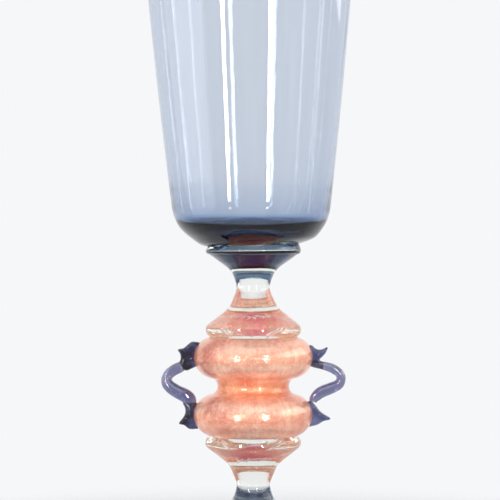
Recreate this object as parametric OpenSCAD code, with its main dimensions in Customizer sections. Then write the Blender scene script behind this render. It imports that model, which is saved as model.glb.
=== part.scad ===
// Hand-blown champagne flute: a tapered blue bowl on a stem of clear wafers and spools, a rose
// double knop cased in crystal over gold leaf, a pair of pulled side handles and a domed blue foot.
// Millimetres, +Z up. The origin is the centre of the foot's underside. The handles lie in the
// XZ plane, and the front of the flute faces -Y.

/* [Bowl] */
// Height of the bowl from its joint to the lip
bowl_h = 128; // [115:1:140]
// Outer radius of the bowl at the lip
lip_r = 34.4; // [33.5:0.1:36]
// Wall thickness at the lip
lip_t = 0.95; // [0.9:0.05:1.5]
// Lean of the bowl towards -X, in degrees
bowl_lean = 0.5; // [0:0.1:1]
// Distance of the bowl's axis from the stem's axis at the joint
bowl_shift = 0.5; // [0:0.1:0.8]

/* [Stem] */
// Radius of the clear joint between the bowl and its wafer
joint_r = 13.4; // [13:0.1:13.6]
// Slope of that joint, lower towards -X, in degrees
joint_tilt = 2; // [0:0.5:2.5]
// Thickness of a wafer at its middle
wafer_t = 2.6; // [2.4:0.1:3]
// Radius of a wafer at its widest
wafer_r = 14.05; // [13.9:0.05:14.5]
// Height of a spool between the double knop and a wafer
spool_h = 24.2; // [23:0.1:28]
// Radius of a spool's waist
waist_r = 4.9; // [4.5:0.1:5.1]

/* [Double knop] */
// Distance from the axis to the centre of a knop's round edge
knop_ring_r = 11.3; // [11:0.1:11.8]
// Radius of a knop's round edge
knop_edge_r = 6.2; // [6:0.1:6.4]
// Height of a knop's middle above or below the neck
knop_rise = 8.5; // [8.3:0.1:9]
// Radius of the neck between the two knops
neck_r = 10.5; // [10:0.1:11]
// Thickness of the clear casing
casing_t = 1.2; // [1:0.1:1.5]
// Thickness of the gold-flecked skin under the casing
skin_t = 0.35; // [0.3:0.05:0.6]
// Height by which the rose core swells into each spool, above its flat edge
core_rise = 4.6; // [3:0.1:5]

/* [Foot] */
// Radius of the foot
foot_r = 37.5; // [37:0.1:40]
// Height of the foot at its joint
foot_h = 8; // [7.6:0.1:9.5]
// Width of the flat ring that the foot stands on
ring_w = 1.5; // [1.2:0.1:2]

/* [Handles] */
// Thickness of a pinched crest
crest_t = 2.6; // [2:0.1:3]

/* [Hidden] */

turn_fn = 96;        // sides of a turned piece
curve_steps = 5;     // stretches between two knots of a smooth curve
arc_steps = 10;      // stretches of a round
rod_sides = 14;      // sides of a handle's rod
half_space = 100;    // side of the cube that trims a sloping joint
knop_flat = 0.2;     // depth by which a knop's top is flattened at the spool
casing_rise = core_rise - 0.4;  // height by which the casing swells into each spool
cap_steps = 8;       // stretches of that swelling
foot_edge_r = 1.1;   // radius of the round edge of the foot

knop_end = knop_rise + knop_edge_r - knop_flat;        // half the height of the double knop
knop_joint_r = knop_ring_r                             // radius of its flat ends
               + sqrt(pow(knop_edge_r, 2) - pow(knop_edge_r - knop_flat, 2));
neck_mid_z = foot_h + wafer_t + spool_h + knop_end;    // height of the neck's middle
joint_z = neck_mid_z + knop_end + spool_h + wafer_t;   // height of the bowl's joint

// The neck's hollow round meets both knops' round edges smoothly.
neck_drop = neck_r - knop_ring_r;
hollow_r = (pow(neck_drop, 2) + pow(knop_rise, 2) - pow(knop_edge_r, 2))
           / (2 * (knop_edge_r - neck_drop));
hollow_x = neck_r + hollow_r;
turn_a = atan2(knop_rise, hollow_x - knop_ring_r);

blue = [0.55, 0.63, 0.75, 0.6];
clear = [0.9, 0.93, 0.94, 0.4];
rose = [0.90, 0.52, 0.42];
gold = [0.95, 0.70, 0.42];
lilac = [0.47, 0.47, 0.66, 0.8];
navy = [0.12, 0.13, 0.24];

// ---- curves ----

// The point at t, from 0 to 1, between b and c on the smooth curve through a, b, c and d.
function between(a, b, c, d, t) =
    0.5 * (2 * b + (c - a) * t + (2 * a - 5 * b + 4 * c - d) * t * t
           + (3 * b - 3 * c + d - a) * t * t * t);

// The smooth curve through all knots, ends included.
function smooth(knots) = let (last = len(knots) - 1) concat(
    [for (i = [0 : last - 1], k = [0 : curve_steps - 1])
        between(knots[max(i - 1, 0)], knots[i], knots[i + 1], knots[min(i + 2, last)],
                k / curve_steps)],
    [knots[last]]);

// Points on a round about a centre, from one angle to another.
function arc(centre, r, from, to) =
    [for (k = [0 : arc_steps]) let (a = from + (to - from) * k / arc_steps)
        centre + r * [cos(a), sin(a)]];

// A smooth swelling from the axis out to a flat edge at [radius, height], without the edge itself.
function cap(edge, rise) =
    [for (k = [0 : cap_steps - 1])
        [edge[0] * k / cap_steps, edge[1] + rise * (1 + cos(180 * k / cap_steps)) / 2]];

function reversed(list) = [for (i = [len(list) - 1 : -1 : 0]) list[i]];

// The same outline upside down.
function flipped(outline) = [for (p = outline) [p[0], -p[1]]];

// A piece of revolution about Z from an outline of [radius, height] points.
module turned(outline) {
    rotate_extrude($fn = turn_fn) polygon(outline);
}

// ---- bowl ----

// The bowl's outer side from below the joint to just under the lip. Heights are above the joint.
function bowl_outside() = smooth([
    [joint_r - 1, -0.9], [joint_r, -0.1], [16, 0.95], [18.9, 2.85], [21.2, 5.4], [22.5, 7.9],
    [23.25, 10.6], [23.75, 14.5], [24.6, 22], [27.35, 47.3], [31.2, 88],
    [lip_r, bowl_h - lip_t / 2]]);

// The bowl's inner side from the raised middle of its floor to just under the lip. The wall grows
// thicker towards the floor.
function bowl_inside() = smooth([
    [0, 7.7], [4, 7.4], [8.5, 6.2], [13, 5], [17, 5.3], [20, 7.3], [21.45, 10.6], [22.38, 15],
    [23.55, 22.3], [26.42, 47.4], [30.28, 88], [lip_r - lip_t, bowl_h - lip_t / 2]]);

function bowl_outline() = concat(
    [[0, -0.9]],
    bowl_outside(),
    arc([lip_r - lip_t / 2, bowl_h - lip_t / 2], lip_t / 2, 15, 165),
    reversed(bowl_inside()));

// Everything on one side of the sloping joint: side is 1 above it and -1 below it.
module joint_side(side) {
    translate([0, 0, joint_z])
        rotate([0, -joint_tilt, 0])
            translate([0, 0, side * half_space / 2])
                cube(half_space, center = true);
}

module bowl() {
    color(blue) difference() {
        translate([-bowl_shift, 0, joint_z])
            rotate([0, -bowl_lean, 0])
                turned(bowl_outline());
        joint_side(-1);
    }
}

// ---- clear wafers and spools ----

// A wafer's outline from its spool, at z = 0, to its other face and the neck of glass beyond.
function wafer_outline(neck_h) = concat(
    [[0, 0]],
    smooth([[wafer_r - 1.15, 0], [wafer_r - 0.35, 0.28], [wafer_r, 0.95], [wafer_r - 0.05, 1.5],
            [wafer_r - 0.3, 2.1], [joint_r, wafer_t]]),
    neck_h > 0 ? [[joint_r, wafer_t + neck_h]] : [],
    [[0, wafer_t + neck_h]]);

module bowl_wafer() {
    color(clear) difference() {
        translate([0, 0, joint_z - wafer_t]) turned(wafer_outline(0.7));
        joint_side(1);
    }
}

module foot_wafer() {
    color(clear) translate([0, 0, foot_h + wafer_t]) turned(flipped(wafer_outline(0)));
}

// A spool's outline from the double knop, at z = 0, through its waist to the wafer. It is hollowed
// underneath where the knop swells into it.
function spool_outline() = concat(
    cap([knop_joint_r, 0], casing_rise),
    smooth([[knop_joint_r, 0], [13.75, 0.95], [14.05, 2.2], [13.75, 3.2], [12.4, 4.4],
            [9.3, 6.8], [7.3, 8.65], [6.3, 10.5], [waist_r + 0.35, 12.95], [waist_r, 14.5],
            [waist_r + 0.25, spool_h - 8.15], [6, spool_h - 5.9], [7.5, spool_h - 3.95],
            [10.1, spool_h - 2.1], [12.5, spool_h - 0.35], [wafer_r - 1.15, spool_h]]),
    [[0, spool_h]]);

module upper_spool() {
    color(clear) translate([0, 0, neck_mid_z + knop_end]) turned(spool_outline());
}

module lower_spool() {
    color(clear) translate([0, 0, neck_mid_z - knop_end]) turned(flipped(spool_outline()));
}

// ---- double knop ----

// The double knop's side from its top to its bottom, at a depth under the outer surface.
function knop_side(depth) =
    let (edge_r = knop_edge_r - depth,
         top_a = asin(min(1, (knop_end - knop_rise) / edge_r)),
         upper = arc([knop_ring_r, knop_rise], edge_r, top_a, -turn_a),
         hollow = arc([hollow_x, 0], hollow_r + depth, 180 - turn_a, 180 + turn_a))
    concat(upper, [for (i = [1 : arc_steps - 1]) hollow[i]], reversed(flipped(upper)));

// The double knop's closed outline at a depth, with its ends swollen by rise.
function knop_outline(depth, rise) =
    let (side = knop_side(depth), top = cap(side[0], rise))
    concat(top, side, reversed(flipped(top)));

// A closed layer of the double knop between two outlines.
module knop_layer(outer, inner) {
    translate([0, 0, neck_mid_z]) turned(concat(outer, reversed(inner)));
}

// The double knop as one solid.
module knop_solid(outline) {
    translate([0, 0, neck_mid_z]) turned(outline);
}

casing_outline = knop_outline(0, casing_rise);
skin_outline = knop_outline(casing_t, core_rise);
core_outline = knop_outline(casing_t + skin_t, core_rise);

module knop_casing() {
    color(clear) knop_layer(casing_outline, skin_outline);
}

module knop_gold_skin() {
    color(gold) knop_layer(skin_outline, core_outline);
}

module knop_core() {
    color(rose) knop_solid(core_outline);
}

// ---- foot ----

// The foot's outline, over the top, round the edge and back under the hollow. The smallest
// rounds at the middle are the ground hollow where the flute was cut from its iron.
function foot_outline() = concat(
    smooth([[joint_r, foot_h], [14.6, foot_h - 1.3], [17.5, foot_h - 2.65], [22, 4.2], [29, 3.05],
            [foot_r - foot_edge_r, 2 * foot_edge_r]]),
    arc([foot_r - foot_edge_r, foot_edge_r], foot_edge_r, 75, -90),
    [[foot_r - foot_edge_r - ring_w, 0]],
    smooth([[foot_r - foot_edge_r - ring_w - 0.4, 0.12], [foot_r - 4, 0.85], [26, 1.55],
            [17, 2.35], [9, 2.95], [6.6, 3.05]]),
    smooth([[6.3, 3.15], [3.2, 3.45], [0, 3.55]]),
    [[0, foot_h]]);

module foot() {
    color(blue) turned(foot_outline());
}

// ---- side handles ----

// Each rod is a row of [x, y, height above the neck's middle, radius], from crest to crest.
left_rod = [[-18.6, 0.1, 6.9, 1.1], [-20, 0.2, 6.2, 1.25], [-21.7, 0.3, 5.5, 1.6],
            [-23.6, 0.3, 4.5, 1.6], [-25.1, 0.1, 3.1, 1.55], [-25.5, -0.1, 1.6, 1.6],
            [-24.7, -0.4, 0, 1.8], [-22.4, -0.6, -1.6, 1.9], [-20, -0.5, -2.8, 2.05],
            [-18.6, -0.2, -4.1, 1.9], [-17.9, 0, -5.8, 1.2]];
right_rod = [[17.8, -0.1, 6.6, 1], [20.6, -0.2, 6, 1.2], [23.2, -0.3, 5.2, 1.35],
             [25.2, -0.2, 3.8, 1.35], [25.8, 0.1, 2.1, 1.4], [25, 0.4, 0.4, 1.55],
             [22.6, 0.6, -0.8, 1.7], [19.8, 0.4, -1.9, 1.7], [18, 0.2, -3.5, 1.45],
             [17.6, 0, -4.7, 1]];

// Outer edges of the crests as [x, height above the neck's middle], from the tip that lies along
// the knop, round the outer points and back to the knop.
left_upper_edge = [[-15.6, 13], [-17.8, 13.1], [-19.3, 12.2], [-20.5, 11.2], [-22.2, 10.7],
                   [-21.6, 9.5], [-21.4, 8.1], [-21.8, 6.7], [-20.8, 5.2], [-19.6, 4.5],
                   [-18.3, 5], [-16.9, 5.6]];
right_upper_edge = [[16.4, 12.2], [17.2, 12], [18.6, 10.9], [20, 10.8], [21.8, 11.4],
                    [21.5, 10], [20.6, 8.8], [19.6, 7.8], [20.3, 6.9], [20.6, 5.5],
                    [19.2, 5.1], [17, 5.6]];
left_lower_edge = [[-16.3, -4.9], [-18.4, -4.6], [-20.7, -4.9], [-20.2, -6.2], [-20, -7.6],
                   [-20.5, -9], [-21.9, -11], [-20.3, -11.6], [-18.6, -12.7], [-16, -12.9]];
right_lower_edge = [[15.8, -4.1], [17.2, -4.6], [18.4, -5.8], [20, -7.7], [22.3, -9.1],
                    [22.5, -9.9], [20.6, -10.4], [18.9, -11.4], [16.4, -12.6]];

// The direction of a path at a point, and a direction across it.
function along(path, i) =
    let (a = path[max(i - 1, 0)], b = path[min(i + 1, len(path) - 1)],
         d = [b[0] - a[0], b[1] - a[1], b[2] - a[2]])
    d / norm(d);
function across(d) = let (c = cross([0, 1, 0], d)) c / norm(c);

// A closed round rod along a smooth path of [x, y, z, radius] knots.
module rod(knots) {
    path = smooth(knots);
    last = len(path) - 1;
    rings = [for (i = [0 : last])
        let (d = along(path, i), u = across(d), v = cross(d, u),
             centre = [path[i][0], path[i][1], path[i][2]])
        for (k = [0 : rod_sides - 1]) let (a = 360 * k / rod_sides)
            centre + path[i][3] * (cos(a) * u + sin(a) * v)];
    sides = [for (i = [0 : last - 1], k = [0 : rod_sides - 1])
        let (a = i * rod_sides + k, b = i * rod_sides + (k + 1) % rod_sides)
        for (face = [[a, b, b + rod_sides], [a, b + rod_sides, a + rod_sides]]) face];
    start_cap = [for (k = [rod_sides - 1 : -1 : 0]) k];
    end_cap = [for (k = [0 : rod_sides - 1]) last * rod_sides + k];
    polyhedron(rings, concat(sides, [start_cap, end_cap]));
}

// A flat pinched crest that stands on a knop: level is 1 on the upper knop and -1 on the lower.
// The ends of its edge are drawn onto the knop's round edge, which it follows between them.
module crest(edge, level) {
    side = sign(edge[0][0]);
    rise = level * knop_rise;
    last = len(edge) - 1;
    function angle(p) = atan2(p[1] - rise, abs(p[0]) - knop_ring_r);
    base = [for (p = arc([knop_ring_r, rise], knop_edge_r, angle(edge[last]), angle(edge[0])))
        [side * p[0], p[1]]];
    free_edge = concat([base[arc_steps]], [for (i = [1 : last - 1]) edge[i]], [base[0]]);
    translate([0, 0, neck_mid_z])
        rotate([90, 0, 0])
            linear_extrude(crest_t, center = true)
                polygon(concat(smooth(free_edge), [for (i = [1 : arc_steps - 1]) base[i]]));
}

// A rod between its two crests, trimmed where it meets them and the knops.
module handle_rod(knots, upper_edge, lower_edge) {
    difference() {
        translate([0, 0, neck_mid_z]) rod(knots);
        knop_solid(casing_outline);
        crest(upper_edge, 1);
        crest(lower_edge, -1);
    }
}

module left_handle_rod() {
    color(lilac) handle_rod(left_rod, left_upper_edge, left_lower_edge);
}

module right_handle_rod() {
    color(lilac) handle_rod(right_rod, right_upper_edge, right_lower_edge);
}

module left_upper_crest() {
    color(navy) crest(left_upper_edge, 1);
}

module left_lower_crest() {
    color(navy) crest(left_lower_edge, -1);
}

module right_upper_crest() {
    color(navy) crest(right_upper_edge, 1);
}

module right_lower_crest() {
    color(navy) crest(right_lower_edge, -1);
}

bowl();
bowl_wafer();
upper_spool();
knop_casing();
knop_gold_skin();
knop_core();
lower_spool();
foot_wafer();
foot();
left_handle_rod();
left_upper_crest();
left_lower_crest();
right_handle_rod();
right_upper_crest();
right_lower_crest();
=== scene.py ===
"""Looks for a hand-blown champagne flute. Every piece of glass is its own closed mesh around the
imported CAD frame: a blue bowl, clear wafers and spools, a gold-flecked rose double knop under a
clear casing, two pulled lilac handles with pinched crests, and a domed blue foot."""

import math
import random

import bpy
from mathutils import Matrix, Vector, geometry, noise


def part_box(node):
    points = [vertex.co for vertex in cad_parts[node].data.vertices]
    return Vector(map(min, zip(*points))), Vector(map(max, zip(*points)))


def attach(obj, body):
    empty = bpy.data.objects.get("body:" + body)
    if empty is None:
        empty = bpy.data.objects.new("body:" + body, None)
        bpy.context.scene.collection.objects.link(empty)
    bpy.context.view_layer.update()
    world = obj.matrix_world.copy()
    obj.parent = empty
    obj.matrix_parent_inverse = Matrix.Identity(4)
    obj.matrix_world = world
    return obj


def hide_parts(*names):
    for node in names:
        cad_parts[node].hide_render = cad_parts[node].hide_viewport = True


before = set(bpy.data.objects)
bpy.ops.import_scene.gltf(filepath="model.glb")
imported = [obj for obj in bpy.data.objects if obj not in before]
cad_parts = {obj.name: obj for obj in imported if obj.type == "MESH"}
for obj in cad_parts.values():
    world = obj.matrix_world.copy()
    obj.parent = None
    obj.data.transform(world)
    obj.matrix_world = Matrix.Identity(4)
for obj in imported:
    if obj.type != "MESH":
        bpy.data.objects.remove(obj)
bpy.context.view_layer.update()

MM = 0.001
TURNS = 224  # sides of a turned piece
STEPS = 9  # stretches between two knots of a smooth outline
ARC_STEPS = 14
CAP_STEPS = 16
FACE_STEPS = 10  # rings across a flat joint
SHARP_ANGLE = 38.0  # edges with a sharper bend than this, in degrees, stay crisp
SEAM = 0.01 * MM  # half the gap between two fused pieces
JOINT_R = 13.4 * MM  # of the wafers' faces against the bowl and the foot
KNOP_FACE_R = 12.86 * MM  # of the spools' ends against the knop
GLASS_IOR = 1.5

# ---- heights taken from the frame ----


def low_z(node):
    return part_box(node)[0].z


def high_z(node):
    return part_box(node)[1].z


FOOT_H = high_z("foot")
FOOT_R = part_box("foot")[1].x
FOOT_WAFER_TOP = high_z("foot_wafer")
KNOP_BOTTOM = high_z("lower_spool")
KNOP_TOP = low_z("upper_spool")
KNOP_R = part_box("knop_casing")[1].x
NECK_Z = (KNOP_BOTTOM + KNOP_TOP) / 2
CASING_RISE = high_z("knop_casing") - KNOP_TOP
SPOOL_TOP = high_z("upper_spool")
SPOOL_H = SPOOL_TOP - KNOP_TOP
WAFER_T = FOOT_WAFER_TOP - FOOT_H
WAFER_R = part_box("foot_wafer")[1].x
SPOOL_FACE_R = WAFER_R - 1.15 * MM
JOINT_Z = SPOOL_TOP + WAFER_T
LIP_Z = high_z("bowl")
BOWL_H = LIP_Z - JOINT_Z
LIP_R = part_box("bowl")[1].y
CREST_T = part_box("left_upper_crest")[1].y * 2

# ---- curves ----


def between(a, b, c, d, t):
    """The point at t, from 0 to 1, between b and c on the smooth curve through a, b, c and d."""
    return tuple(
        0.5 * (2 * q + (r - p) * t + (2 * p - 5 * q + 4 * r - s) * t**2
               + (3 * q - 3 * r + s - p) * t**3)
        for p, q, r, s in zip(a, b, c, d)
    )


def smooth(knots, steps=STEPS):
    """The smooth curve through all knots, ends included."""
    last = len(knots) - 1
    points = [
        between(knots[max(i - 1, 0)], knots[i], knots[i + 1], knots[min(i + 2, last)], k / steps)
        for i in range(last)
        for k in range(steps)
    ]
    return points + [tuple(knots[-1])]


def arc(centre, radius, start, end, steps=ARC_STEPS):
    """Points on a round about a centre, from one angle in degrees to another."""
    angles = [math.radians(start + (end - start) * k / steps) for k in range(steps + 1)]
    return [(centre[0] + radius * math.cos(a), centre[1] + radius * math.sin(a)) for a in angles]


def straight(start, end, steps):
    """Points on a straight stretch, ends included."""
    return [
        tuple(p + (q - p) * k / steps for p, q in zip(start, end)) for k in range(steps + 1)
    ]


def ease(t):
    """A smooth step from 0 to 1."""
    t = min(max(t, 0.0), 1.0)
    return t * t * (3 - 2 * t)


# ---- meshes ----


def finish_mesh(name, points, faces, fused, sharp_angle=SHARP_ANGLE):
    """A smooth-shaded object. fused says of each face whether it joins the next piece."""
    mesh = bpy.data.meshes.new(name)
    mesh.from_pydata(points, [], faces)
    mesh.validate()
    mask = mesh.attributes.new("fused", "FLOAT", "FACE")
    mask.data.foreach_set("value", [float(f) for f in fused])
    mesh.shade_smooth()
    mesh.set_sharp_from_angle(angle=math.radians(sharp_angle))
    ob = bpy.data.objects.new(name, mesh)
    bpy.context.scene.collection.objects.link(ob)
    return ob


def turned(name, stretches, shift=None):
    """A piece of revolution. Each stretch is (outline, fused), and the outlines join end to end,
    counter-clockwise, from the axis or in a loop. shift moves each finished point."""
    outline, flags = [], []
    for points, is_fused in stretches:
        start = 1 if outline else 0
        outline += points[start:]
        flags += [is_fused] * (len(points) - 1)
    rings, points = [], []
    for (r, z), before, after in zip(outline, flags[:1] + flags, flags + flags[-1:]):
        fused_ring = before or after
        count = 1 if r < 1e-9 else TURNS
        rings.append((len(points), count))
        for k in range(count):
            a = 2 * math.pi * k / TURNS
            p = Vector((r * math.cos(a), r * math.sin(a), z))
            points.append(shift(p, fused_ring) if shift else p)
    faces, fused = [], []
    for (a, na), (b, nb), flag in zip(rings, rings[1:], flags):
        for k in range(TURNS):
            n = (k + 1) % TURNS
            if na == 1 and nb == 1:
                continue
            if na == 1:
                faces.append((a, b + n, b + k))
            elif nb == 1:
                faces.append((a + k, a + n, b))
            else:
                faces.append((a + k, a + n, b + n, b + k))
            fused.append(flag)
    return finish_mesh(name, points, faces, fused)


def piece(ob, material, node):
    """Rides a finished object on the flute, for the CAD node that it stands for."""
    ob.name = ob.data.name = f"{node}_glass"
    ob.data.materials.append(material)
    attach(ob, "root")
    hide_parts(node)


# ---- materials ----

WHITE = (1, 1, 1)


class Nodes:
    """A short way to write the nodes of one tree."""

    def __init__(self, tree):
        self.tree = tree

    def feed(self, socket, value):
        """Gives a socket another node's result, or a plain value."""
        if isinstance(value, bpy.types.NodeSocket):
            self.tree.links.new(value, socket)
        else:
            socket.default_value = value

    def add(self, kind, inputs=(), **settings):
        node = self.tree.nodes.new(kind)
        for key, value in settings.items():
            setattr(node, key, value)
        for key, value in dict(inputs).items():
            self.feed(node.inputs[key], value)
        return node

    def set(self, **values):
        """Sets the material's own shader."""
        shader = self.tree.nodes["Principled BSDF"]
        for key, value in values.items():
            self.feed(shader.inputs[key.replace("_", " ")], value)

    def place(self):
        """Where a point lies, in the frame's metres."""
        return self.add("ShaderNodeTexCoord").outputs["Object"]

    def along(self, axis, vector):
        return self.add("ShaderNodeSeparateXYZ", {0: vector}).outputs[axis]

    def math(self, operation, a, b=0.0, c=0.0):
        return self.add("ShaderNodeMath", {0: a, 1: b, 2: c}, operation=operation).outputs[0]

    def vector(self, operation, a, b=(0, 0, 0), c=(0, 0, 0)):
        """The result of vector arithmetic: a number for LENGTH and DISTANCE, else a vector."""
        node = self.add("ShaderNodeVectorMath", {0: a, 1: b, 2: c}, operation=operation)
        return node.outputs[1 if operation in ("LENGTH", "DISTANCE") else 0]

    def cloud(self, where, scale, detail, **more):
        """A cloudy pattern's value, from 0 to 1."""
        inputs = {"Vector": where, "Scale": scale, "Detail": detail, **more}
        return self.add("ShaderNodeTexNoise", inputs).outputs["Fac"]

    def step(self, value, low, high, first=0.0, last=1.0):
        """A smooth step from first, where the value is low, to last, where it is high."""
        inputs = {"Value": value, "From Min": low, "From Max": high,
                  "To Min": first, "To Max": last}
        return self.add("ShaderNodeMapRange", inputs, interpolation_type="SMOOTHSTEP").outputs[0]

    def ramp(self, value, stops):
        node = self.add("ShaderNodeValToRGB", {0: value})
        elements = node.color_ramp.elements
        while len(elements) < len(stops):
            elements.new(0.5)
        for element, (position, colour) in zip(elements, stops):
            element.position = position
            element.color = (*colour, 1)
        return node.outputs[0]

    def mix(self, factor, a, b, blend="MIX"):
        node = self.add("ShaderNodeMix", {0: factor}, data_type="RGBA", blend_type=blend)
        for index, colour in ((6, a), (7, b)):
            linked = isinstance(colour, bpy.types.NodeSocket)
            self.feed(node.inputs[index], colour if linked else (*colour, 1))
        return node.outputs[2]

    def tint(self, colour, by):
        return self.mix(1.0, colour, by, "MULTIPLY")


def new_material(name):
    """A material with its one shader, and its nodes."""
    material = bpy.data.materials.new(name)
    material.use_nodes = True
    return material, Nodes(material.node_tree)


def absorption(nodes, per_metre):
    """Tints the inside: light is lost by this much a metre in red, green and blue."""
    density = max(per_metre) * 1.02
    colour = [1 - a / density for a in per_metre]
    volume = nodes.add("ShaderNodeVolumeAbsorption", {"Color": (*colour, 1), "Density": density})
    nodes.feed(nodes.tree.nodes["Material Output"].inputs["Volume"], volume.outputs[0])


def leaning(nodes, lean):
    """The surface's own normal, turned round the flute's axis by lean, which is a small angle."""
    across = nodes.vector("NORMALIZE", nodes.vector("CROSS_PRODUCT", (0, 0, 1), nodes.place()))
    tilt = nodes.add("ShaderNodeVectorMath", {0: across, "Scale": lean},
                     operation="SCALE").outputs[0]
    facing = nodes.add("ShaderNodeNewGeometry").outputs["Normal"]
    return nodes.vector("NORMALIZE", nodes.vector("ADD", tilt, facing))


def flattened(nodes, place):
    """The part of a place that lies across the axis."""
    return nodes.vector("MULTIPLY", place, (1, 1, 0))


def around_axis(nodes, place, per_radian, per_metre):
    """Where to read a pattern that runs up and down a turned piece: it changes per_radian round
    the axis and per_metre along it."""
    unit = nodes.vector("NORMALIZE", flattened(nodes, place))
    level = nodes.vector("MULTIPLY", place, (0, 0, per_metre))
    return nodes.vector("MULTIPLY_ADD", unit, (per_radian, per_radian, per_radian), level)


CORD_HEIGHT = 0.6 * MM
CORD_DETAIL = 3.0
RIB_DRIFT = 60  # how often a rib changes along the axis, per metre
POLISH_IOR = 1.8
POLISH_ROUGHNESS = 0.03


def glass(name, per_metre, streak=0.03, ripple=0.02, fused=True, grain=(260, 260, 9),
          dark=None, gloss=0.0, ribs=0):
    """Fire-polished glass. A fused face bends nothing, so light crosses from piece to piece.
    Its cords, faint streaks of denser glass that the pipe's turning draws out, tint it by
    streak and bend its surface by ripple. grain is how often they change along each axis, per
    metre, and ribs how often they change round the axis instead, per radian. dark is a function
    that returns a colour to darken the glass with, and gloss is the strength of a bright
    polish."""
    material, nodes = new_material(name)
    nodes.set(Roughness=0.0, Transmission_Weight=1.0, IOR=GLASS_IOR)
    if ribs:
        where = around_axis(nodes, nodes.place(), ribs, RIB_DRIFT)
    else:
        where = nodes.add(
            "ShaderNodeMapping", {"Vector": nodes.place(), "Scale": grain}
        ).outputs[0]
    cords = nodes.cloud(where, 1.0, CORD_DETAIL)
    colour = nodes.ramp(cords, [(0.35, [1 - 2 * streak] * 3), (0.65, WHITE)])
    if dark:
        colour = nodes.tint(colour, dark(nodes))
    bump = nodes.add(
        "ShaderNodeBump", {"Strength": ripple, "Distance": CORD_HEIGHT, "Height": cords}
    )
    nodes.set(Base_Color=colour, Normal=bump.outputs[0])
    if fused:
        mask = nodes.add("ShaderNodeAttribute", attribute_name="fused").outputs["Fac"]
        nodes.set(IOR=nodes.math("MULTIPLY_ADD", mask, 1 - GLASS_IOR, GLASS_IOR))
    nodes.set(Coat_Weight=gloss, Coat_IOR=POLISH_IOR, Coat_Roughness=POLISH_ROUGHNESS)
    absorption(nodes, per_metre)
    return material


BASE_DEPTH = 12 * MM
BASE_R = 14 * MM
DEEP_BLUE = (0.27, 0.31, 0.34)
BASE_STOPS = [(0.04, WHITE), (0.06, DEEP_BLUE), (0.38, DEEP_BLUE), (0.6, (0.68, 0.78, 0.90)),
              (0.76, WHITE)]  # up from the joint, over BASE_DEPTH
JOINT_LEVEL = 0.05  # below this part of BASE_DEPTH lies the joint's own face
JOINT_STOPS = [(0.3, (0.66, 0.80, 0.72)), (0.4, (0.86, 0.88, 0.70)),
               (0.7, (1.0, 1.0, 0.80))]  # out from the axis, over BASE_R


def deep_base(nodes):
    """The gather at the foot of the bowl is a denser, greyer blue, and the face of its joint is
    duller in the middle."""
    place = nodes.place()
    level = nodes.math("DIVIDE", nodes.math("SUBTRACT", nodes.along("Z", place), JOINT_Z),
                       BASE_DEPTH)
    out = nodes.math("DIVIDE", nodes.vector("LENGTH", flattened(nodes, place)), BASE_R)
    return nodes.mix(nodes.math("LESS_THAN", level, JOINT_LEVEL),
                     nodes.ramp(level, BASE_STOPS), nodes.ramp(out, JOINT_STOPS))


CREST_SHADE_SLOPE = 60  # how fast the painted shade deepens towards -X, per metre
CREST_SHADE_STOPS = [(0.42, (0.16, 0.08, 0.12)), (0.58, WHITE)]


def crest_shade(nodes):
    """Painted shade in the crests' dark glass: purple-black clouds, thickest at the outside of the
    left ones and gone from the right ones.
    """
    place = nodes.place()
    cloud = nodes.cloud(place, 240.0, 2.0)
    # The painted shade deepens towards -X, so only the left crests darken.
    clear = nodes.math("MULTIPLY_ADD", nodes.along("X", place), CREST_SHADE_SLOPE, 1.11)
    return nodes.ramp(nodes.math("ADD", cloud, clear), CREST_SHADE_STOPS)


ROSE_SPAN = 18 * MM
# The glass's own orange at the neck and pink at the swelling, with painted light: the lighter band
# from just outside the neck's fold over the half of each knop next to the neck, and the lighter
# band near each knop's far end, are painted light.
ROSE_AND_LIGHT_STOPS = [(0.0, (0.97, 0.39, 0.21)), (0.10, (0.97, 0.39, 0.19)), (0.2, (1.0, 0.60, 0.46)),
              (0.36, (1.0, 0.63, 0.48)), (0.47, (1.0, 0.49, 0.33)), (0.70, (1.0, 0.61, 0.48)),
              (0.78, (1.0, 0.50, 0.36)), (0.88, (0.98, 0.42, 0.34)),
              (1.0, (0.92, 0.18, 0.28))]  # up or down from the neck, over ROSE_SPAN
SIDE_LEVEL = 0.78  # the part of ROSE_SPAN where the side ends and the swelling begins
COLOUR_WANDER = 4 * MM
THIN_STOPS = [(0.38, (0.84, 0.66, 0.64)), (0.60, WHITE)]
# Painted shade: the centres of darker patches with less gold, on the front left of both knops.
SHADED_PATCHES = ((-12.5 * MM, -8.5 * MM, NECK_Z + 10.5 * MM),
             (-12.5 * MM, -8.5 * MM, NECK_Z - 5.5 * MM))
SHADE_R = 9 * MM
SHADE_WANDER = 18 * MM
SHADE_STOPS = [(0, (0.66, 0.40, 0.38)), (1, WHITE)]
STREAK_STOPS = [(0.36, (0.96, 0.89, 0.88)), (0.62, (1.0, 1.04, 1.04))]
MOTTLE_STOPS = [(0.38, (0.94, 0.84, 0.82)), (0.60, (1.0, 1.05, 1.05))]
GRAINS = 4800.0  # of gold dust, per metre
GRAIN_STOPS = [(0.0, (0.88, 0.80, 0.78)), (0.5, WHITE), (1.0, (1.0, 1.14, 1.10))]
GRAIN_LEAN = 0.17
LEAF_GOLD = (1.0, 0.78, 0.50)
LEAF_DRAW = 0.93  # a grain that draws more than this is bright gold
LEAF_STRENGTH = 0.6


def unshaded_part(nodes, place, patch):
    """How free of the painted shade a point is, from 0 in the middle of the shaded patches to 1.
    The patches are darker and have less gold.
    """
    unshaded = 1.0
    for centre in SHADED_PATCHES:
        away = nodes.math("SUBTRACT", nodes.vector("DISTANCE", place, centre), SHADE_R)
        edge = nodes.math("MULTIPLY_ADD", patch, SHADE_WANDER, away)
        unshaded = nodes.math("MULTIPLY", nodes.step(edge, 1 * MM, 7.5 * MM), unshaded)
    return unshaded


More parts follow.
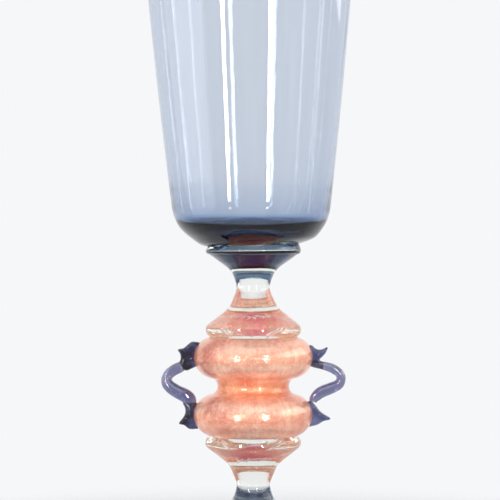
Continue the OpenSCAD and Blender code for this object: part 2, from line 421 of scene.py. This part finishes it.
def gold_rose(name):
    """Rose glass rolled in gold dust and twisted in an optic mould, with a satin sheen and a
    painted glow from its emission.
    It is drawn thin and orange at the neck, and turns pink where it swells into the spools; its
    lighter bands are painted light, and darker patches on its front left are painted shade."""
    material, nodes = new_material(name)
    place = nodes.place()
    from_neck = nodes.math(
        "ABSOLUTE", nodes.math("SUBTRACT", nodes.along("Z", place), NECK_Z)
    )
    wander = nodes.math("MULTIPLY_ADD", nodes.cloud(place, 190.0, 5.0),
                        COLOUR_WANDER, -COLOUR_WANDER / 2)
    level = nodes.math("DIVIDE", nodes.math("ADD", from_neck, wander), ROSE_SPAN)
    # Own colour with painted light in lighter bands.
    rose = nodes.ramp(level, ROSE_AND_LIGHT_STOPS)
    # Thin places in the leaf let the darker glass below show.
    patch = nodes.cloud(place, 95.0, 7.0, Roughness=0.62)
    unshaded = unshaded_part(nodes, place, patch)
    rose = nodes.tint(rose, nodes.ramp(patch, THIN_STOPS))
    # Painted shade darkens the front left of the knops.
    rose = nodes.tint(rose, nodes.ramp(unshaded, SHADE_STOPS))
    ribs = nodes.cloud(around_axis(nodes, place, 20.0, 90.0), 1.0, 5.0)
    rose = nodes.tint(rose, nodes.ramp(ribs, STREAK_STOPS))
    rose = nodes.tint(rose, nodes.ramp(nodes.cloud(place, 700.0, 4.0), MOTTLE_STOPS))
    # Each grain of dust leans round the axis at its own angle, and some are bright gold.
    flecks = nodes.add("ShaderNodeTexVoronoi", {"Vector": place, "Scale": GRAINS})
    draw = nodes.add("ShaderNodeSeparateColor", {0: flecks.outputs["Color"]})
    rose = nodes.tint(rose, nodes.ramp(draw.outputs[0], GRAIN_STOPS))
    on_side = nodes.math("LESS_THAN", level, SIDE_LEVEL)
    leaf = nodes.math("MULTIPLY", nodes.math("GREATER_THAN", draw.outputs[1], LEAF_DRAW),
                      nodes.math("MULTIPLY", on_side, LEAF_STRENGTH))
    lean = nodes.math("MULTIPLY_ADD", nodes.math("ADD", draw.outputs[2], draw.outputs[0]),
                      GRAIN_LEAN, -GRAIN_LEAN)
    colour = nodes.mix(leaf, rose, LEAF_GOLD)
    nodes.set(
        Base_Color=colour,
        # The painted shade patches also have less metal.
        Metallic=nodes.math("MULTIPLY", nodes.math("MULTIPLY_ADD", on_side, 0.38, 0.08),
                            nodes.math("MULTIPLY_ADD", unshaded, 0.8, 0.2)),
        Roughness=nodes.math("MULTIPLY_ADD", patch, 0.08, 0.09),
        Subsurface_Weight=0.3,
        Subsurface_Radius=(5 * MM, 1.8 * MM, 1.2 * MM),
        Subsurface_Scale=1.0,
        # Painted glow: the emission makes the rose shine as if lit through, though it is no lamp.
        Emission_Color=colour,
        Emission_Strength=0.26,
        Normal=leaning(nodes, lean),
    )
    return material


def rose_core(name):
    """Milky rose glass, seen only where the knop is cut open."""
    material, nodes = new_material(name)
    cloud = nodes.cloud(nodes.place(), 220.0, 4.0)
    nodes.set(
        Base_Color=nodes.ramp(cloud, [(0.3, (0.82, 0.2, 0.1)), (0.7, (0.9, 0.4, 0.28))]),
        Roughness=0.3,
        Subsurface_Weight=0.2,
        Subsurface_Scale=2 * MM,
    )
    return material


BLUE_LOSS = (221, 175, 109)
BLUE = glass("blue_glass", BLUE_LOSS, streak=0.0125, ripple=0.05, dark=deep_base)
FOOT_BLUE = glass("foot_blue_glass", BLUE_LOSS, streak=0.01, grain=(90, 90, 90))
CLEAR = glass("clear_glass", (5, 3, 6), streak=0.005, ripple=0.06, grain=(120, 120, 900))
CASING = glass("casing_glass", (5, 3, 4), streak=0.005, ripple=0.06, ribs=52)
LILAC = glass("lilac_glass", (565, 565, 355), streak=0.06, ripple=0.1, fused=False,
              grain=(300, 300, 300), gloss=0.8)
# The crests' glass is darkened by painted shade on the left ones.
NAVY = glass("crest_glass", (890, 840, 550), streak=0.03, ripple=0.03, fused=False,
             grain=(500, 500, 500), dark=crest_shade)
GOLD_ROSE = gold_rose("gold_rose")
ROSE = rose_core("rose_core")

# ---- handmade irregularities ----

WAVER_SEED = 5
noise.seed_set(WAVER_SEED)  # without this, noise_vector follows the clock


def waver(p, scale, amount, seed):
    """A slow, smooth offset of a point, as hand shaping leaves."""
    q = Vector((p.x, p.y, p.z)) * scale + Vector((seed, seed * 1.7, seed * 0.3))
    return noise.noise_vector(q) * amount


JOINT_TILT = math.tan(math.radians(2.0))
TILT_REACH = 2.6 * MM
BOWL_LEAN = math.tan(math.radians(0.5))
BOWL_SHIFT = 0.5 * MM
JACK_RINGS = ((0.05 * MM, 0, 900), (0.02 * MM, 5, 2300))  # height, seed and how often per metre
RING_BANDS = ((4.5, 10.5), (16, 24))  # millimetres above the knop
DENT = 0.1 * MM
DENTS_END = 4.6  # millimetres above the knop


def tilt_joint(p):
    """The joint between bowl and wafer slopes down towards -X, and the slope dies out fast."""
    away = abs(p.z - JOINT_Z) / TILT_REACH
    return Vector((p.x, p.y, p.z + p.x * JOINT_TILT * ease(1 - away)))


def bowl_shift(p, fused):
    """The bowl leans, and is set a little to the left of its joint."""
    rise = max(p.z - JOINT_Z, 0)
    q = tilt_joint(p)
    q.x -= BOWL_SHIFT * ease(rise / (6 * MM)) + BOWL_LEAN * rise
    settled = ease(rise / (8 * MM))
    w = waver(Vector((p.x, p.y, p.z * 0.35)), scale=28, amount=0.16 * MM, seed=3.1) * settled
    return q + Vector((w.x, w.y, 0))


def wafer_shift(p, fused):
    """The wafer's face follows the tilted joint, and its edge wavers."""
    w = waver(p, scale=90, amount=0.12 * MM, seed=7.7) * ease((JOINT_Z - p.z) / (1.2 * MM))
    w *= ease((p.z - SPOOL_TOP) / (0.6 * MM))
    return tilt_joint(p) + Vector((w.x, w.y, 0))


def spool_shift(p, fused, seed):
    """Uneven sides, with the faint rings that the jacks leave as the spool turns, and dents next
    to the knop."""
    if fused:
        return p
    up = abs(p.z - NECK_Z)
    inner = ease((up - (KNOP_TOP - NECK_Z)) / (1.5 * MM))
    outer = ease(((SPOOL_TOP - NECK_Z) - up) / (1.5 * MM))
    w = waver(p, scale=110, amount=0.16 * MM, seed=seed)
    out = Vector((p.x, p.y, 0)).normalized()
    tilted = p.z + 0.03 * p.x + 0.02 * p.y
    above = (up - (KNOP_TOP - NECK_Z)) / MM
    ring = sum(height * noise.noise(Vector((seed, offset, tilted * often)))
               for height, offset, often in JACK_RINGS)
    ring *= sum(ease((above - low) / 2) * ease((high - above) / 2) for low, high in RING_BANDS)
    dent = DENT * noise.noise(Vector((p.x, p.y, p.z * 0.6)) * 320 + Vector((seed, 9, 0)))
    dent *= ease((DENTS_END - above) / 1.5)
    return p + (w + out * (ring + dent)) * inner * outer


# ---- the bowl ----


def mm(points):
    """Points given in millimetres, in metres."""
    return [(r * MM, z * MM) for r, z in points]


def raised(points, base):
    """Points whose heights are counted from base."""
    return [(r, z + base) for r, z in points]


def cap(edge, rise):
    """A smooth swelling from the axis out to a flat edge, given as (radius, height)."""
    swell = [(1 + math.cos(math.pi * k / CAP_STEPS)) / 2 for k in range(CAP_STEPS + 1)]
    return [(edge[0] * k / CAP_STEPS, edge[1] + rise * s) for k, s in enumerate(swell)]


def make_bowl():
    lip_t = 0.95 * MM
    top = BOWL_H - lip_t / 2
    outer = smooth([(JOINT_R, 0)]
                   + mm([(16, 0.95), (18.9, 2.85), (21.2, 5.4), (22.5, 7.9), (23.25, 10.6),
                         (23.75, 14.5), (24.6, 22), (27.35, 47.3), (31.2, 88)])
                   + [(LIP_R, top)])
    inner = smooth(mm([(0, 7.7), (4, 7.4), (8.5, 6.2), (13, 5), (17, 5.3), (20, 7.3),
                       (21.45, 10.6), (22.38, 15), (23.55, 22.3), (26.42, 47.4), (30.28, 88)])
                   + [(LIP_R - lip_t, top)])
    lip = arc((LIP_R - lip_t / 2, top), lip_t / 2, 0, 180)
    outer[0] = (JOINT_R, SEAM)
    base = straight((0, SEAM), outer[0], FACE_STEPS)
    body = outer + lip[1:-1] + inner[::-1]
    ob = turned("bowl", [(raised(base, JOINT_Z), True), (raised(body, JOINT_Z), False)],
                bowl_shift)
    piece(ob, BLUE, "bowl")


# ---- wafers and spools ----


def wafer_side():
    """A wafer's edge from its spool to its other face, above the spool."""
    return smooth([(SPOOL_FACE_R, SEAM), (WAFER_R - 0.35 * MM, 0.28 * MM),
                   (WAFER_R, 0.95 * MM), (WAFER_R - 0.05 * MM, 1.5 * MM),
                   (WAFER_R - 0.3 * MM, 2.1 * MM), (JOINT_R, WAFER_T - SEAM)])


def spool_side():
    """A spool's side from the knop, through its waist to the wafer, above the knop."""
    top = SPOOL_H / MM
    knots = mm([(13.75, 0.95), (14.05, 2.2), (13.75, 3.2), (12.4, 4.4), (9.3, 6.8), (7.3, 8.65),
                (6.3, 10.5), (5.25, 12.95), (4.9, 14.5), (5.15, top - 8.15), (6, top - 5.9),
                (7.5, top - 3.95), (10.1, top - 2.1), (12.5, top - 0.35)])
    side = smooth([(KNOP_FACE_R, 0)] + knots + [(SPOOL_FACE_R, SPOOL_H)])
    side[0] = (side[0][0], SEAM)
    side[-1] = (side[-1][0], SPOOL_H - SEAM)
    return side


def stacked(name, side, base, flip, shift, rise=0.0):
    """A clear piece whose two ends are fused to its neighbours. rise is the swelling of the
    neighbour into its first end."""
    bottom = cap(side[0], rise)
    top = straight(side[-1], (0, side[-1][1]), FACE_STEPS)
    stretches = [(bottom, True), (side, False), (top, True)]
    if flip:
        stretches = [([(r, -z) for r, z in reversed(points)], fused)
                     for points, fused in reversed(stretches)]
    stretches = [(raised(points, base), fused) for points, fused in stretches]
    return turned(name, stretches, shift)


BUBBLE_SIDES = 14
BUBBLE_ROWS = 9


def pocket(points, faces, centre, axes):
    """Adds an air bubble with three right-handed half-axes, facing inwards."""
    u, v, w = axes
    first = len(points)
    for j in range(1, BUBBLE_ROWS):
        a = math.pi * j / BUBBLE_ROWS
        for k in range(BUBBLE_SIDES):
            t = 2 * math.pi * k / BUBBLE_SIDES
            points.append(centre + math.sin(a) * (u * math.cos(t) + v * math.sin(t))
                          + w * math.cos(a))
    points += [centre + w, centre - w]
    top, bottom = len(points) - 2, len(points) - 1
    last = first + (BUBBLE_ROWS - 2) * BUBBLE_SIDES
    for k in range(BUBBLE_SIDES):
        n = (k + 1) % BUBBLE_SIDES
        faces.append((top, first + n, first + k))
        faces.append((bottom, last + k, last + n))
        for j in range(BUBBLE_ROWS - 2):
            a, b = first + j * BUBBLE_SIDES, first + (j + 1) * BUBBLE_SIDES
            faces.append((a + k, a + n, b + n, b + k))


KNOTS = (-124, -103, -84, -66, 10, 75, 140)  # where the bubbles gather, in degrees
KNOT_SPREAD = 10
KNOT_BUBBLES = 17
SINGLE_BUBBLES = 18
# Turn round the axis and lean, in degrees, and half the length in millimetres.
FOLDS = ((-129, -20, 1.9), (-59, 14, 3.4), (35, -8, 2.2), (120, 10, 2.6))


def bubbles_of(seed):
    """A disc's bubbles: each has a turn round the axis, a radius, a height above the knop, a lean
    in degrees and three half-axes, outwards, along and up, in millimetres."""
    draw = random.Random(seed)
    bubbles = []
    for knot in KNOTS:
        for _ in range(KNOT_BUBBLES):
            turn = math.radians(draw.gauss(knot, KNOT_SPREAD))
            size = draw.uniform(0.12, 0.36)
            bubbles.append((turn, draw.uniform(7.2, 9.3), draw.uniform(4.6, 6.2), 0,
                            (size, 1.3 * size, size)))
    for _ in range(SINGLE_BUBBLES):
        r = draw.uniform(5, 12.2)
        swell = CASING_RISE / MM * (1 + math.cos(math.pi * r / (KNOP_FACE_R / MM))) / 2
        roof = 6.4 if r < 8 else 3.4
        z = draw.uniform(swell + 0.5, max(roof, swell + 0.7))
        size = draw.uniform(0.12, 0.3)
        bubbles.append((draw.uniform(0, 2 * math.pi), r, z, 0, (size, 1.6 * size, size)))
    for turn, lean, length in FOLDS:
        bubbles.append((math.radians(turn), 12.1, 1.9, lean, (0.22, length, 0.55)))
    return bubbles


def seeds(base, way, seed):
    """Trapped bubbles in a spool's disc: knots of them high up, single ones elsewhere, and a few
    long folds near the disc's edge. way is 1 above the knop and -1 below it."""
    points, faces = [], []
    for turn, r, z, lean, (deep, wide, high) in bubbles_of(seed):
        out = Vector((math.cos(turn), math.sin(turn), 0))
        along = Vector((-out.y, out.x, 0))
        up = Vector((0, 0, 1))
        tip = math.radians(lean)
        side = along * math.cos(tip) + up * math.sin(tip)
        rise = up * math.cos(tip) - along * math.sin(tip)
        centre = out * r * MM + Vector((0, 0, base + way * z * MM))
        pocket(points, faces, centre, (out * deep * MM, side * wide * MM, rise * high * MM))
    return finish_mesh("seeds", points, faces, [0.0] * len(faces))


def join(ob, other):
    """Adds another object's mesh to ob, and removes it."""
    with bpy.context.temp_override(active_object=ob, selected_editable_objects=[ob, other]):
        bpy.ops.object.join()


def make_clear_pieces():
    upper = stacked("upper_spool", spool_side(), KNOP_TOP, False,
                    lambda p, fused: spool_shift(p, fused, 2.3), CASING_RISE)
    lower = stacked("lower_spool", spool_side(), KNOP_BOTTOM, True,
                    lambda p, fused: spool_shift(p, fused, 9.1), CASING_RISE)
    join(upper, seeds(KNOP_TOP, way=1, seed=11))
    join(lower, seeds(KNOP_BOTTOM, way=-1, seed=12))
    made = {
        "upper_spool": upper,
        "lower_spool": lower,
        "bowl_wafer": stacked("bowl_wafer", wafer_side(), SPOOL_TOP, False, wafer_shift),
        "foot_wafer": stacked("foot_wafer", wafer_side(), FOOT_WAFER_TOP, True, None),
    }
    for node, ob in made.items():
        piece(ob, CLEAR, node)


# ---- the double knop ----

KNOP_EDGE_R = 6.2 * MM
KNOP_RISE = 8.5 * MM
KNOP_RING_R = KNOP_R - KNOP_EDGE_R
NECK_R = 10.5 * MM
NECK_DROP = NECK_R - KNOP_RING_R
HOLLOW_R = (NECK_DROP**2 + KNOP_RISE**2 - KNOP_EDGE_R**2) / (2 * (KNOP_EDGE_R - NECK_DROP))
HOLLOW_X = NECK_R + HOLLOW_R
TURN_A = math.degrees(math.atan2(KNOP_RISE, HOLLOW_X - KNOP_RING_R))
CASING_T = KNOP_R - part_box("knop_gold_skin")[1].x
CORE_RISE = high_z("knop_gold_skin") - NECK_Z - KNOP_RISE - KNOP_EDGE_R + CASING_T


def knop_side(depth):
    """The double knop's side from bottom to top, at a depth, about the neck's middle."""
    edge_r = KNOP_EDGE_R - depth
    half = KNOP_TOP - NECK_Z
    top_a = math.degrees(math.asin(min(1, (half - KNOP_RISE) / edge_r)))
    upper = arc((KNOP_RING_R, KNOP_RISE), edge_r, -TURN_A, top_a, steps=60)
    hollow = arc((HOLLOW_X, 0), HOLLOW_R + depth, 180 + TURN_A, 180 - TURN_A, steps=36)
    lower = [(r, -z) for r, z in reversed(upper)]
    return lower + hollow[1:-1] + upper


def knop_shift(p, fused):
    """The knop's side wavers, and its ends stay round."""
    w = waver(p, scale=45, amount=0.14 * MM, seed=5.3)
    settled = ease((KNOP_TOP - NECK_Z - abs(p.z - NECK_Z)) / (2 * MM))
    return p + Vector((w.x, w.y, 0)) * settled


def closed_knop(depth, rise):
    """The closed outline at a depth, as bottom, side and top, about the neck's middle."""
    side = knop_side(depth)
    top = cap(side[-1], rise)[::-1]
    bottom = [(r, -z) for r, z in reversed(top)]
    return bottom, side, top


def at_neck(points, seam=0.0):
    """Points about the neck's middle, in the frame, and moved up by a seam."""
    return raised(raised(points, NECK_Z), seam)


def make_knop():
    bottom, side, top = closed_knop(0, CASING_RISE)
    outer = [(at_neck(bottom, SEAM), True), (at_neck(side), False), (at_neck(top, -SEAM), True)]
    inner = closed_knop(CASING_T - SEAM, CORE_RISE)
    cavity = [(at_neck(points[::-1]), True) for points in reversed(inner)]
    casing = turned("knop_casing", outer, knop_shift)
    join(casing, turned("cavity", cavity, knop_shift))
    piece(casing, CASING, "knop_casing")
    below = closed_knop(CASING_T + SEAM, CORE_RISE)
    skin = turned("knop_gold_skin", [(at_neck(points), False) for points in below], knop_shift)
    piece(skin, GOLD_ROSE, "knop_gold_skin")


# ---- the foot ----


def make_foot():
    edge_r = 1.1 * MM
    rim = FOOT_R - edge_r
    face = (JOINT_R, FOOT_H - SEAM)
    top = smooth([(rim, 2 * edge_r), (29 * MM, 3.05 * MM), (22 * MM, 4.2 * MM),
                  (17.5 * MM, FOOT_H - 2.65 * MM), (14.6 * MM, FOOT_H - 1.3 * MM), face])
    edge = arc((rim, edge_r), edge_r, -90, 75)
    hollow = smooth(mm([(0, 3.55), (3.2, 3.45), (6.3, 3.15)])) + smooth(
        mm([(6.6, 3.05), (9, 2.95), (17, 2.35), (26, 1.55)])
        + [(FOOT_R - 4 * MM, 0.85 * MM), (rim - 1.9 * MM, 0.12 * MM), (rim - 1.5 * MM, 0)])
    joint = straight(face, (0, FOOT_H - SEAM), FACE_STEPS)
    ob = turned("foot", [(hollow + edge + top[1:], False), (joint, True)])
    piece(ob, FOOT_BLUE, "foot")


# ---- handles ----

# A rod's knots are x, y, the height above the neck's middle and the radius, and a crest's are x
# and that height, all in millimetres.
LEFT_ROD = [(-18.6, 0.1, 6.9, 1.1), (-20, 0.2, 6.2, 1.25), (-21.7, 0.3, 5.5, 1.6),
            (-23.6, 0.3, 4.5, 1.6), (-25.1, 0.1, 3.1, 1.55), (-25.5, -0.1, 1.6, 1.6),
            (-24.7, -0.4, 0, 1.8), (-22.4, -0.6, -1.6, 1.9), (-20, -0.5, -2.8, 2.05),
            (-18.6, -0.2, -4.1, 1.9), (-17.9, 0, -5.8, 1.2)]
RIGHT_ROD = [(17.8, -0.1, 6.6, 1), (20.6, -0.2, 6, 1.2), (23.2, -0.3, 5.2, 1.35),
             (25.2, -0.2, 3.8, 1.35), (25.8, 0.1, 2.1, 1.4), (25, 0.4, 0.4, 1.55),
             (22.6, 0.6, -0.8, 1.7), (19.8, 0.4, -1.9, 1.7), (18, 0.2, -3.5, 1.45),
             (17.6, 0, -4.7, 1)]
LEFT_UPPER = [(-15.6, 13), (-17.8, 13.1), (-19.3, 12.2), (-20.5, 11.2), (-22.2, 10.7),
              (-21.6, 9.5), (-21.4, 8.1), (-21.8, 6.7), (-20.8, 5.2), (-19.6, 4.5),
              (-18.3, 5), (-16.9, 5.6)]
RIGHT_UPPER = [(16.4, 12.2), (17.2, 12), (18.6, 10.9), (20, 10.8), (21.8, 11.4), (21.5, 10),
               (20.6, 8.8), (19.6, 7.8), (20.3, 6.9), (20.6, 5.5), (19.2, 5.1), (17, 5.6)]
LEFT_LOWER = [(-16.3, -4.9), (-18.4, -4.6), (-20.7, -4.9), (-20.2, -6.2), (-20, -7.6),
              (-20.5, -9), (-21.9, -11), (-20.3, -11.6), (-18.6, -12.7), (-16, -12.9)]
RIGHT_LOWER = [(15.8, -4.1), (17.2, -4.6), (18.4, -5.8), (20, -7.7), (22.3, -9.1),
               (22.5, -9.9), (20.6, -10.4), (18.9, -11.4), (16.4, -12.6)]
ROD_SIDES = 40
ROD_STEPS = 10
ROD_UNEVEN = 0.05


def make_rod(name, knots, seed):
    """A pulled rod, round but a little uneven, closed with flat ends."""
    path = smooth([tuple(v * MM for v in k) for k in knots], ROD_STEPS)
    points, faces = [], []
    last = len(path) - 1
    for i, (x, y, z, r) in enumerate(path):
        a, b = path[max(i - 1, 0)], path[min(i + 1, last)]
        along = Vector(b[:3]) - Vector(a[:3])
        along.normalize()
        u = Vector((0, 1, 0)).cross(along).normalized()
        v = along.cross(u)
        centre = Vector((x, y, z + NECK_Z))
        for k in range(ROD_SIDES):
            t = 2 * math.pi * k / ROD_SIDES
            out = u * math.cos(t) + v * math.sin(t)
            where = centre * 260 + out * 0.7 + Vector((seed, 0, 0))
            points.append(centre + out * r * (1 + ROD_UNEVEN * noise.noise(where)))
    for i in range(last):
        for k in range(ROD_SIDES):
            n = (k + 1) % ROD_SIDES
            a, b = i * ROD_SIDES, (i + 1) * ROD_SIDES
            faces.append((a + k, a + n, b + n, b + k))
    faces.append(tuple(range(ROD_SIDES - 1, -1, -1)))
    faces.append(tuple(last * ROD_SIDES + k for k in range(ROD_SIDES)))
    ob = finish_mesh(name, points, faces, [0.0] * len(faces))
    piece(ob, LILAC, name)


def distance_to(outline, p):
    """How far a point in the plane lies from a closed outline."""
    best = 1e9
    for a, b in zip(outline, outline[1:] + outline[:1]):
        near, part = geometry.intersect_point_line(p, a, b)
        near = a if part < 0 else b if part > 1 else near
        best = min(best, (p - near.to_2d()).length)
    return best


def inside(outline, p):
    """Whether a point in the plane lies within a closed outline."""
    hit = False
    for a, b in zip(outline, outline[1:] + outline[:1]):
        if (a.y > p.y) != (b.y > p.y):
            hit ^= p.x < a.x + (b.x - a.x) * (p.y - a.y) / (b.y - a.y)
    return hit


CREST_PITCH = 0.28 * MM  # between the points of the mesh
CREST_EDGE = 1.5 * MM  # how far in from its rim a crest keeps thinning
CREST_SWELL = 1.15
CREST_LUMPS = ((0.38, 330), (0.02, 1100))  # height and how often per metre
CREST_SHARP = 80  # degrees


def crest_outline(edge, level):
    """A crest's closed rim: its free edge, then an arc inside the knop. Both lie in the plane of
    X and the height above the neck's middle."""
    side = math.copysign(1, edge[0][0])
    rise = level * KNOP_RISE
    root = KNOP_EDGE_R - 0.35 * MM

    def turn(p):
        return math.degrees(math.atan2(p[1] * MM - rise, abs(p[0]) * MM - KNOP_RING_R))

    base = [(side * r, z) for r, z in
            arc((KNOP_RING_R, rise), root, turn(edge[-1]), turn(edge[0]), steps=16)]
    free = [base[-1]] + mm(edge[1:-1]) + [base[0]]
    return [Vector(p) for p in smooth(free, 6)[:-1] + base[:-1]]


def grid_inside(outline):
    """Points of a triangular grid inside an outline, and not too close to it."""
    xs = [p.x for p in outline]
    zs = [p.y for p in outline]
    grid = []
    for i in range(int((max(xs) - min(xs)) / CREST_PITCH) + 1):
        for j in range(int((max(zs) - min(zs)) / CREST_PITCH) + 1):
            p = Vector((min(xs) + (i + 0.5 * (j % 2)) * CREST_PITCH,
                        min(zs) + j * CREST_PITCH))
            if inside(outline, p) and distance_to(outline, p) > 0.4 * CREST_PITCH:
                grid.append(p)
    return grid


def make_crest(name, edge, level):
    """A bit of hot glass pinched flat against the knop: thick and lumpy in the middle, thin at
    its rim. level is 1 on the upper knop and -1 on the lower."""
    outline = crest_outline(edge, level)
    count = len(outline)
    made = geometry.delaunay_2d_cdt(
        outline + grid_inside(outline), [], [list(range(count))], 1, 1e-7
    )
    flat, triangles = made[0], made[2]
    rim = {i for i, source in enumerate(made[3]) if any(s < count for s in source)}
    points, back = [], {}
    for p in flat:
        d = distance_to(outline, p)
        dome = math.sqrt(max(0.0, 1 - (1 - min(d / CREST_EDGE, 1)) ** 2))
        q = Vector((p.x, p.y, 0)) + Vector((edge[0][0], level, 0)) * 0.1
        lump = sum(height * noise.noise(q * often) for height, often in CREST_LUMPS)
        lumpy = 1 + lump * ease(d / MM)
        points.append(Vector((p.x, -CREST_T / 2 * CREST_SWELL * dome * lumpy, p.y + NECK_Z)))
    faces = []
    for i in range(len(flat)):
        if i in rim:
            points[i].y = 0
            back[i] = i
        else:
            back[i] = len(points)
            points.append(Vector((points[i].x, -points[i].y, points[i].z)))
    for a, b, c in triangles:
        if {a, b, c} <= rim:
            continue
        front = (a, b, c)
        normal = (points[b] - points[a]).cross(points[c] - points[a])
        if normal.y > 0:
            front = (a, c, b)
        faces.append(front)
        faces.append(tuple(back[i] for i in reversed(front)))
    ob = finish_mesh(name, points, faces, [0.0] * len(faces), CREST_SHARP)
    piece(ob, NAVY, name)


def make_handles():
    make_rod("left_handle_rod", LEFT_ROD, seed=1.0)
    make_rod("right_handle_rod", RIGHT_ROD, seed=4.0)
    make_crest("left_upper_crest", LEFT_UPPER, level=1)
    make_crest("left_lower_crest", LEFT_LOWER, level=-1)
    make_crest("right_upper_crest", RIGHT_UPPER, level=1)
    make_crest("right_lower_crest", RIGHT_LOWER, level=-1)


# ---- stage ----

BACKDROP = (0.9216, 0.9301, 0.9473)
ROOM = (0.64, 0.65, 0.67)
CEILING = (0.9, 0.905, 0.92)
FLOOR = (0.56, 0.565, 0.575)
FLOOR_R = 300 * MM
FLOOR_SIDES = 96
FLOOR_FADE = (45 * MM, 170 * MM)  # from where the floor starts to fade to where it is gone


def make_world():
    """A pale backdrop, a greyer room behind the camera and a brighter ceiling."""
    world = bpy.data.worlds.new("studio")
    bpy.context.scene.world = world
    world.use_nodes = True
    nodes = Nodes(world.node_tree)
    toward = nodes.add("ShaderNodeTexCoord").outputs["Generated"]
    back = nodes.step(nodes.along("Y", toward), 0.3, 0.8)
    high = nodes.step(nodes.along("Z", toward), 0.45, 0.8)
    sky = nodes.mix(high, nodes.mix(back, ROOM, BACKDROP), CEILING)
    nodes.feed(nodes.tree.nodes["Background"].inputs[0], sky)


def make_floor():
    """A pale floor that fades out around the flute."""
    material, nodes = new_material("pale_floor")
    away = nodes.vector("LENGTH", nodes.place())
    nodes.set(Base_Color=(*FLOOR, 1), Roughness=0.7,
              Alpha=nodes.step(away, *FLOOR_FADE, first=1.0, last=0.0))
    turns = [2 * math.pi * k / FLOOR_SIDES for k in range(FLOOR_SIDES)]
    points = [(0, 0, 0)] + [(FLOOR_R * math.cos(a), FLOOR_R * math.sin(a), 0) for a in turns]
    faces = [(0, 1 + k, 1 + (k + 1) % FLOOR_SIDES) for k in range(FLOOR_SIDES)]
    floor = finish_mesh("floor", points, faces, [0.0] * FLOOR_SIDES)
    floor.data.materials.append(material)


LIGHTS_Z = 100 * MM
# Soft boxes: azimuth, lowest and highest elevation, width, distance in metres, radiance, colour.
STRIPS = {
    "left_strip": (-31, -11.3, 22, 4.2, 1.0, 31, WHITE),
    "right_strip": (23.7, -11.3, 22, 4.2, 1.0, 31, WHITE),
    "left_lamp": (-31, -20.5, -18, 3.6, 1.0, 13, WHITE),
    "right_lamp": (23.7, -20.5, -18, 3.6, 1.0, 13, WHITE),
    "left_soft": (-75, -14, 45, 45, 1.0, 0.5, WHITE),
    "left_edge": (-97, -14, 45, 2.2, 0.98, 3.5, WHITE),
    "left_slit": (-72, -14, 45, 2.2, 0.98, 2.5, WHITE),
    "left_far": (-119, -14, 45, 1.6, 1.0, 3, WHITE),
    "right_slit": (65, -14, 5, 3, 1.0, 1.0, WHITE),
    "right_edge": (92, -14, 5, 3, 1.0, 2.0, (1, 0.95, 0.95)),
    "right_soft": (95, 6, 32, 66, 1.0, 1.65, (1, 0.95, 0.93)),
}


def strip_light(name, azimuth, low, high, width, distance, radiance, colour):
    """A tall soft box. Its azimuth counts from the camera's side towards +X, and its ends are
    elevations seen from the flute, all in degrees."""
    a = math.radians(azimuth)
    bottom = LIGHTS_Z + distance * math.tan(math.radians(low))
    top = LIGHTS_Z + distance * math.tan(math.radians(high))
    lamp = bpy.data.lights.new(name, "AREA")
    lamp.shape = "RECTANGLE"
    lamp.size = 2 * distance * math.tan(math.radians(width / 2))
    lamp.size_y = top - bottom
    lamp.energy = radiance * math.pi * lamp.size * lamp.size_y
    lamp.color = colour
    ob = bpy.data.objects.new(name, lamp)
    ob.location = (distance * math.sin(a), -distance * math.cos(a), (top + bottom) / 2)
    ob.rotation_euler = (math.radians(90), 0, a)
    bpy.context.scene.collection.objects.link(ob)


def top_light(name, size, height, radiance):
    """A square soft box above and in front of the flute, facing it."""
    lamp = bpy.data.lights.new(name, "AREA")
    lamp.size = size
    lamp.energy = radiance * math.pi * size * size
    ob = bpy.data.objects.new(name, lamp)
    ob.location = (0, -height, height + LIGHTS_Z)
    ob.rotation_euler = (math.radians(45), 0, 0)
    bpy.context.scene.collection.objects.link(ob)


def make_lights():
    for name, strip in STRIPS.items():
        strip_light(name, *strip)
    top_light("key", size=0.8, height=0.75, radiance=0.75)


CAMERA_DISTANCE = 0.56
VIEW_WIDTH = 147.06 * MM  # what the picture shows across, at the flute's axis


def make_camera():
    """Level with the bowl's foot, in front of the flute."""
    camera = bpy.data.cameras.new("camera")
    camera.sensor_width = 36
    camera.lens = camera.sensor_width * CAMERA_DISTANCE / VIEW_WIDTH
    camera.clip_start = 0.01
    ob = bpy.data.objects.new("camera", camera)
    ob.location = (-0.97 * MM, -CAMERA_DISTANCE, NECK_Z + 40 * MM)
    ob.rotation_euler = (math.radians(90), 0, 0)
    bpy.context.scene.collection.objects.link(ob)
    bpy.context.scene.camera = ob


def settings():
    """Plain colours, and enough bounces for light to cross the nested glass."""
    scene = bpy.context.scene
    scene.view_settings.view_transform = "Standard"
    cycles = scene.cycles
    cycles.max_bounces = 40
    cycles.transmission_bounces = 40
    cycles.glossy_bounces = 24
    cycles.transparent_max_bounces = 64
    cycles.volume_bounces = 0


settings()
make_bowl()
make_clear_pieces()
make_knop()
make_foot()
make_handles()
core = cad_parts["knop_core"]
core.data.materials.clear()
core.data.materials.append(ROSE)
make_world()
make_floor()
make_lights()
make_camera()
